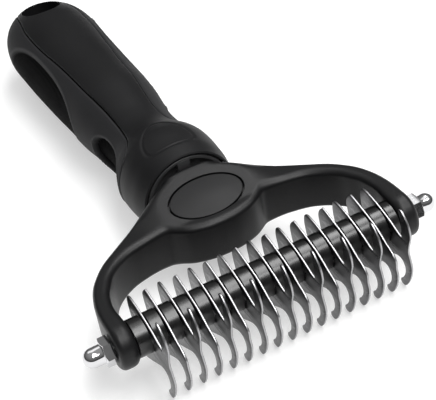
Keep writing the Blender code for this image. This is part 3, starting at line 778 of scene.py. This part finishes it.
# (y, radius), (y, height of the centre line) and (y, degrees from the top line of the seam between
# the hard panel and the grips)
RADIUS = [(RIM_Y, 16.0), (55.0, 17.0), (59.0, 17.3), (63.0, 17.5), (67.0, 17.4), (71.0, 16.8),
          (75.0, 15.7), (81.0, 14.4), (88.0, 13.9), (96.0, 14.6), (107.0, 15.9), (119.0, 16.2),
          (131.0, 16.8), (143.0, 17.2), (152.0, 17.4), (BUTT_START_Y, BUTT_RADIUS)]
CENTRE = [(RIM_Y, 0.0), (63.0, 0.0), (67.0, -0.1), (71.0, -0.5), (75.0, -1.0), (81.0, -1.2),
          (88.0, -0.6), (96.0, -0.1), (107.0, 0.0), (HANDLE_END_Y, 0.0)]
SEAM = [(GRIP_START_Y, 86.0), (66.5, 70.0), (67.0, 59.0), (68.0, 48.5), (69.5, 41.5), (72.0, 36.5),
        (78.0, 32.5), (95.0, 32.0), (112.0, 34.0), (130.0, 36.0), (146.0, 40.0), (161.0, 40.0),
        (170.0, 35.5), (GRIP_END_Y, 33.0)]


def radius_at(y):
    """Radius of the handle at y, kept from rising above the bell."""
    if y <= BUTT_START_Y:
        return min(value_at(RADIUS, y), BELL_RADIUS + value_at(CENTRE, y))
    along = min((y - BUTT_START_Y) / (HANDLE_END_Y - BUTT_START_Y), BUTT_TIP)
    return BUTT_RADIUS * math.sqrt(1 - along ** BUTT_FULLNESS)


def spread(low, high, step):
    """Even places from low to high, about a step apart."""
    count = max(1, round((high - low) / step))
    return [low + (high - low) * i / count for i in range(count + 1)]


def handle_rows():
    """Places along the handle, closer together round the thumb pad and the grips' front ends."""
    rows = [y for stretch in BELL_SPREADS for y in spread(*stretch)]
    rows += GRIP_FRONT_ROWS
    rows += [y for stretch in GRIP_SPREADS for y in spread(*stretch)]
    return [y for y in rows if y < GRIP_END_Y]


def flatness(y):
    """Height over width of the handle: round, then lower towards the butt."""
    along = min(1.0, max(0.0, (y - FLATTEN_START_Y) / FLATTEN_LENGTH))
    return 1.0 - FLATTEN_SHARE * along ** 2 * (3.0 - 2.0 * along)


def skin_point(y, angle, inset):
    """Point under the handle's skin at an angle from the top line."""
    reach = radius_at(y) - inset
    return (reach * math.sin(angle), y, value_at(CENTRE, y) + reach * math.cos(angle) * flatness(y))


def thumb_groove(y, angle):
    """Depth of the thumb pad on top of the bell: a grooved and dished arch that points to the butt."""
    across = angle * radius_at(y)
    sides = [PAD_SLOPE_X * sign * across + PAD_SLOPE_Y * (y - PAD_MIDDLE_Y) - PAD_REACH
             for sign in (1, -1)]
    limits = sides + [across - PAD_HALF_WIDTH, -across - PAD_HALF_WIDTH, PAD_START_Y - y]
    distance = PAD_BLEND * math.log(sum(math.exp(limit / PAD_BLEND) for limit in limits))
    groove = PAD_GROOVE_DEPTH * math.exp(-(distance / PAD_GROOVE_WIDTH) ** 2)
    dish = PAD_DISH * min(1.0, max(0.0, -distance))
    return groove + dish


def edge_ease(distance):
    """Rounding of a piece's edge along the seam."""
    return SEAM_EASE_DEPTH * max(0.0, 1.0 - distance / SEAM_EASE_WIDTH) ** 2


def panel_angles(seam, radius):
    """Angles across a hard panel, closer together along its two seams."""
    near = [place / radius for place in SEAM_EDGE_ROWS]
    inner = SEAM_EASE_WIDTH / radius
    span = 2 * (seam - inner)
    angles = [-seam + step for step in near]
    angles += [inner - seam + span * i / PANEL_STEPS for i in range(PANEL_STEPS + 1)]
    return angles + [seam - step for step in reversed(near)]


def core_ring(y, pocketed):
    """Ring of the hard core: a panel above and below, and sides sunk for the grips if pocketed."""
    seam = math.radians(value_at(SEAM, max(y, GRIP_START_Y)))
    radius = radius_at(y)
    ring = []
    for middle in (0.0, math.pi):
        for angle in panel_angles(seam, radius):
            ease = edge_ease((seam - abs(angle)) * radius) if pocketed else 0.0
            pad = thumb_groove(y, angle) if middle == 0.0 and y < PAD_END_Y else 0.0
            ring.append(skin_point(y, middle + angle, ease + pad))
        sweep = math.pi - 2 * seam
        inset = GRIP_DEPTH if pocketed else 0.0
        for i in range(POCKET_STEPS + 1):
            ring.append(skin_point(y, middle + seam + sweep * i / POCKET_STEPS, inset))
    return ring


def hanging_hole():
    """Oval hole from top to bottom, flared where it meets the skin."""
    lower = [(-z, flare) for z, flare in reversed(HOLE_FLARE)]
    rings = []
    for z, flare in lower + HOLE_FLARE:
        oval = ellipse(HOLE_HALF_X + flare, HOLE_HALF_Y + flare, HOLE_SIDES, HOLE_CENTRE_Y)
        rings.append([(x, y, z) for x, y in oval])
    return loft("hanging_hole", rings)


def make_handle(material):
    """Hard core, from the socket's end out through the mouth, over the bell and to the butt."""
    inner = [(SPIGOT_END_Y + SOCKET_SPACE, SOCKET_RADIUS), (MOUTH_FLOOR_Y, SOCKET_RADIUS),
             (MOUTH_FLOOR_Y, MOUTH_RADIUS)]
    inner += [(RIM_Y + behind, MOUTH_RADIUS + outside) for behind, outside in RIM_EASE]
    angles = [math.atan2(x, z) for x, _y, z in core_ring(BELL_ROW_Y, False)]
    rings = [[(r * math.sin(a), y, r * math.cos(a)) for a in angles] for y, r in inner]
    for y in handle_rows():
        if y == FIRST_GRIP_ROW_Y:
            rings.append(core_ring(GRIP_START_Y, False))
        rings.append(core_ring(y, y > GRIP_START_Y))
    rings.append(core_ring(GRIP_END_Y, True))
    rings.append(core_ring(GRIP_END_Y, False))
    rings += [core_ring(y, False) for y in BUTT_ROWS]
    rings.append([(TIP_SHARE * x, HANDLE_END_Y, TIP_SHARE * z) for x, _y, z in rings[-1]])
    core = loft("handle", rings)
    piece("handle_detail", combine(core, [(hanging_hole(), "DIFFERENCE")]), material, "handle_core")


# (middle y, half length, middle angle and half width in degrees, depth, share of the depth that is
# left at the underside) of the finger recesses
RECESSES = [(139.5, 29.0, 96.0, 44.0, 0.7, 0.0), (82.5, 14.0, 94.0, 36.0, 2.0, 1.0)]


def recess_shape(y, angle):
    """(amount, depth, bead): 0 on the skin to 1 in a recess, and how far the skin sinks and rises."""
    turn = math.degrees(abs(angle))
    fade = min(1.0, max(0.0, (FADE_END - turn) / (FADE_END - FADE_START)))
    amount = depth = bead = 0.0
    for middle, half, centre, width, deep, kept in RECESSES:
        inside = 1.0 - abs((y - middle) / half) ** RECESS_ROUNDNESS - ((turn - centre) / width) ** 2
        t = min(1.0, max(0.0, inside / RECESS_WALL))
        share = t * t * (3 - 2 * t)
        strength = kept + (1.0 - kept) * fade
        amount = max(amount, share)
        depth = max(depth, deep * share * strength)
        bead = max(bead, strength * math.exp(-((inside + BEAD_PLACE) / BEAD_PLACE) ** 2))
    return amount, depth, bead


def grip_rings(side):
    """(rings, shades): a grip's crescents along the handle, and each point's (recess, bead)."""
    rows = [GRIP_START_Y + GRIP_END_GAP]
    rows += [y for y in handle_rows() if y > GRIP_START_Y + GRIP_ROW_GAP]
    rows.append(GRIP_END_Y - GRIP_END_GAP)
    rings = []
    shades = []
    for y in rows:
        radius = radius_at(y)
        seam = math.radians(value_at(SEAM, y)) + SEAM_GAP / radius
        seam = min(seam, math.radians(WIDEST_SEAM))
        sweep = math.pi - 2 * seam
        end = min(y - rows[0], rows[-1] - y)
        outside = []
        for i in range(GRIP_STEPS + 1):
            angle = seam + sweep * i / GRIP_STEPS
            edge = min(i, GRIP_STEPS - i) * sweep / GRIP_STEPS * radius
            amount, depth, bead = recess_shape(y, angle)
            inset = edge_ease(min(edge, end)) + depth - BEAD_HEIGHT * bead
            outside.append(skin_point(y, side * angle, inset))
            shades.append((amount, bead))
        floor = [skin_point(y, side * (seam + sweep * i / GRIP_STEPS), GRIP_DEPTH - CLEARANCE)
                 for i in range(GRIP_STEPS, -1, -1)]
        shades += [(0.0, 0.0)] * len(floor)
        rings.append(outside + floor)
    return rings, shades


def make_grip(name, side, material):
    """Soft grip whose points carry how far they are in a recess and on its bead."""
    rings, shades = grip_rings(side)
    bm = bmesh.new()
    # the recess layer places the painted shade in the recesses
    recess = bm.verts.layers.float.new("recess")
    # the bead layer places the painted highlight on the beads
    bead_highlight_layer = bm.verts.layers.float.new("bead")
    points = [[bm.verts.new(Vector(point) * MM) for point in ring] for ring in rings]
    flat = [vertex for row in points for vertex in row]
    for vertex, (amount, bead) in zip(flat, shades):
        vertex[recess] = amount
        vertex[bead_highlight_layer] = bead
    for lower, upper in zip(points, points[1:]):
        for i in range(len(lower)):
            bm.faces.new((lower[i - 1], lower[i], upper[i], upper[i - 1]))
    bmesh.ops.triangulate(bm, faces=[bm.faces.new(points[0]), bm.faces.new(points[-1])])
    piece(name + "_detail", mesh_from(name + "_skin", bm), material, name)


# ---------------------------------------------------------------- stage

def make_floor():
    """Pale studio paper that glows a little, which keeps it even under soft light."""
    material, nodes, links, shader = new_material("studio_paper")
    tone = add_noise(nodes, links, 3.0)
    links.new(add_colour(nodes, links, tone, (0.53, 0.53, 0.53), (0.55, 0.55, 0.55)),
              shader.inputs["Base Color"])
    shader.inputs["Roughness"].default_value = 0.9
    shader.inputs["Emission Color"].default_value = (1.0, 1.0, 1.0, 1.0)
    shader.inputs["Emission Strength"].default_value = PAPER_GLOW
    bm = bmesh.new()
    bmesh.ops.create_grid(bm, x_segments=1, y_segments=1, size=FLOOR_HALF)
    mesh = bpy.data.meshes.new("floor")
    bm.to_mesh(mesh)
    bm.free()
    mesh.materials.append(material)
    floor = bpy.data.objects.new("floor", mesh)
    bpy.context.scene.collection.objects.link(floor)
    floor.location.z = SOLID_BOX[0].z - FLOOR_DROP


def make_light(name, place, size, power):
    """Rectangular light that faces the rake."""
    data = bpy.data.lights.new(name, "AREA")
    data.shape = "RECTANGLE"
    data.size, data.size_y = size
    data.energy = power
    light = bpy.data.objects.new(name, data)
    bpy.context.scene.collection.objects.link(light)
    light.location = place
    light.rotation_euler = (-Vector(place)).to_track_quat("-Z", "Y").to_euler()


def make_world():
    """Soft room light: bright overhead, darker towards the horizon."""
    world = bpy.data.worlds.new("studio")
    bpy.context.scene.world = world
    world.use_nodes = True
    nodes = world.node_tree.nodes
    links = world.node_tree.links
    place = nodes.new("ShaderNodeTexCoord")
    split = nodes.new("ShaderNodeSeparateXYZ")
    ramp = nodes.new("ShaderNodeValToRGB")
    for element, (height, grey) in zip(ramp.color_ramp.elements, (HORIZON_TONE, OVERHEAD_TONE)):
        element.position = height
        element.color = (grey, grey, grey, 1.0)
    links.new(place.outputs["Generated"], split.inputs["Vector"])
    links.new(split.outputs["Z"], ramp.inputs["Fac"])
    links.new(ramp.outputs["Color"], nodes["Background"].inputs["Color"])
    nodes["Background"].inputs["Strength"].default_value = WORLD_STRENGTH


def make_camera():
    """Long lens above and to the left of the blades, tilted, looking up the handle."""
    azimuth = math.radians(CAMERA_AZIMUTH)
    elevation = math.radians(CAMERA_ELEVATION)
    roll = math.radians(CAMERA_ROLL)
    forward = Vector((-math.sin(azimuth) * math.cos(elevation),
                      math.cos(azimuth) * math.cos(elevation), -math.sin(elevation)))
    level = forward.cross(UP).normalized()
    over = level.cross(forward)
    right = math.cos(roll) * level + math.sin(roll) * over
    up = math.cos(roll) * over - math.sin(roll) * level
    data = bpy.data.cameras.new("camera")
    data.sensor_width = 36.0
    data.lens = CAMERA_LENS
    data.clip_start = 0.01
    camera = bpy.data.objects.new("camera", data)
    bpy.context.scene.collection.objects.link(camera)
    turn = Matrix((right, up, -forward)).transposed().to_4x4()
    camera.matrix_world = Matrix.Translation(rod_axis + Vector(CAMERA_PLACE) * MM) @ turn
    bpy.context.scene.camera = camera


# ---------------------------------------------------------------- assembly

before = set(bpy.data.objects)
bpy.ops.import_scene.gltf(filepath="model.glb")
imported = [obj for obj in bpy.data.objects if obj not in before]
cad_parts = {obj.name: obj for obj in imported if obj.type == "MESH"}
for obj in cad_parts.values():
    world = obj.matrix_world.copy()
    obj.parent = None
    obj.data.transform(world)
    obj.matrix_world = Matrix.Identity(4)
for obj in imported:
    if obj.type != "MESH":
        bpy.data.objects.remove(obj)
SOLID_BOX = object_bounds()
rod_low, rod_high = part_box("tie_rod")
rod_axis = (Vector(rod_low) + Vector(rod_high)) / 2

make_camera()
make_world()
make_floor()
make_light("overhead", (0.16, 0.34, 0.95), (1.7, 0.5), 2.6)
make_light("strip_high", (0.26, -0.13, 1.0), (1.2, 0.30), 9.0)
make_light("strip_front", (0.28, -0.58, 0.84), (1.2, 0.26), 7.0)
bpy.context.scene.view_settings.view_transform = "Standard"

steel = blade_steel()
chrome = nut_chrome()
gloss = plastic("gloss_black_plastic", (0.003, 0.003, 0.003), (0.005, 0.005, 0.005),
                rough=0.25, grain_scale=900.0, grain_height=0.00001, shine=0.6)
satin = plastic("satin_black_plastic", (0.0035, 0.0035, 0.0038), (0.0065, 0.0065, 0.007),
                rough=0.38, grain_scale=2200.0, grain_height=0.00003)
inlay = plastic("badge_plastic", (0.006, 0.006, 0.0065), (0.009, 0.009, 0.0095),
                rough=0.52, grain_scale=2600.0, grain_height=0.00002)
hard = plastic("handle_plastic", (0.0045, 0.0045, 0.005), (0.0075, 0.0075, 0.008),
               rough=0.50, grain_scale=2400.0, grain_height=0.00004, shine=0.18)
# painted light: the collar's plastic is several times lighter than the handle's, so the ring shows
# lighter in the bell's shaded mouth
ring = plastic("collar_plastic_painted_light", (0.030, 0.030, 0.031), (0.040, 0.040, 0.041),
               rough=0.48, grain_scale=2400.0, grain_height=0.00003)

make_blades(steel)
make_spacers(gloss)
make_rod(steel)
make_nut("cap_nut_left", -1, NUT_TURN_LEFT, chrome)
make_nut("cap_nut_right", 1, NUT_TURN_RIGHT, chrome)
make_head(satin)
make_badge("badge_top", 1, inlay)
make_badge("badge_bottom", -1, inlay)
make_collar(ring)
make_handle(hard)
rubber = grip_rubber()
make_grip("grip_left", -1, rubber)
make_grip("grip_right", 1, rubber)
